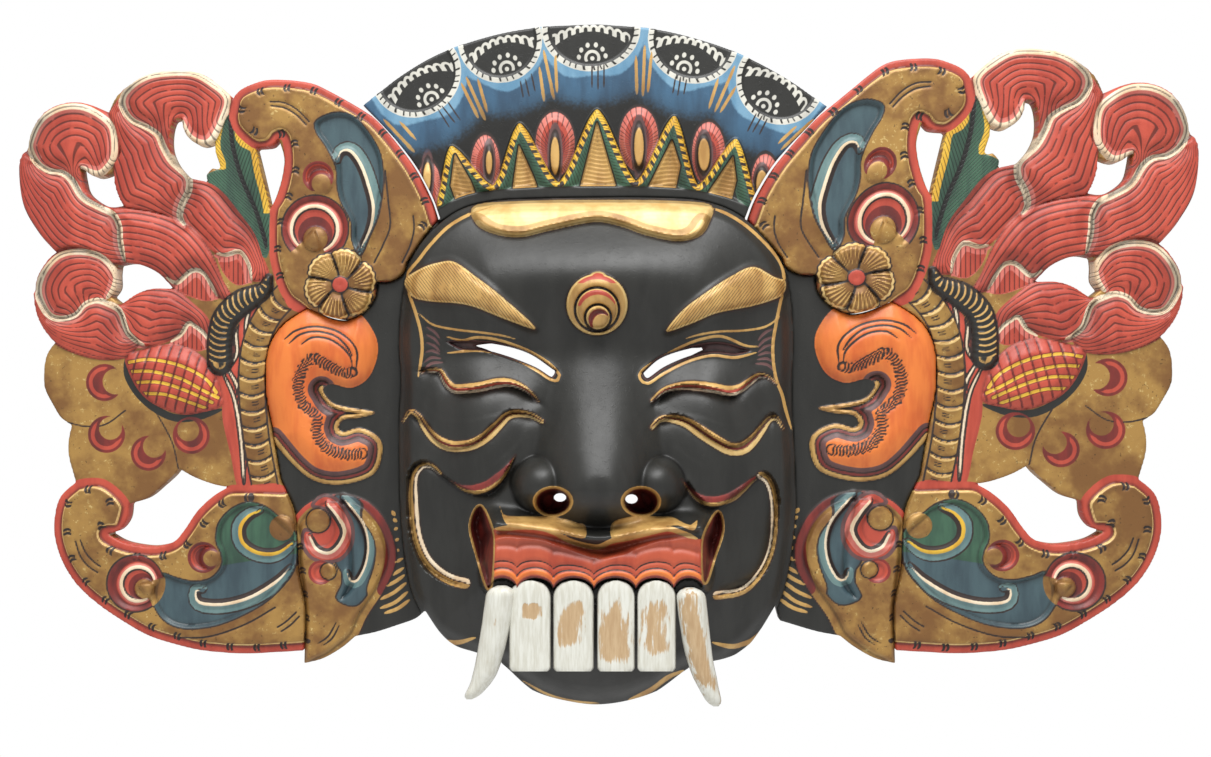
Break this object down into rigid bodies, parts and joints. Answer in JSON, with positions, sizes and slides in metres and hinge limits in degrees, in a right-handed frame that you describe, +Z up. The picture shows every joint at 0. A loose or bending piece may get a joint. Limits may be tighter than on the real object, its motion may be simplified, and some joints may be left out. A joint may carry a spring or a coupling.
{
  "type": "carved guardian wall mask",
  "caption": "Carved and painted wooden guardian mask with a fan-shaped crown, bulging nose, tusks, pierced eye slits and a scrolled wing on each side, made to hang on a wall.",
  "frame": {"origin": "a point on the flat back of the crown board, on the face's middle line, where the mask hangs on its wall", "axes": "+Z up, -Y out of the wall towards the viewer, +X to the viewer's right; the wall is the plane Y = 0"},
  "size_m": [0.9974, 0.1168, 0.5765],
  "materials": {
    "centre_paint": "black lacquer paint over carved wood, with worn antique gold, orange ears and worn white teeth",
    "wing_paint": "satin coral red, antique gold, black and green paint over carved wood, rubbed at the edges"
  },
  "bodies": {
    "root": {"centre": "centre_paint", "wing_left": "wing_paint", "wing_right": "wing_paint"}
  },
  "joints": []
}
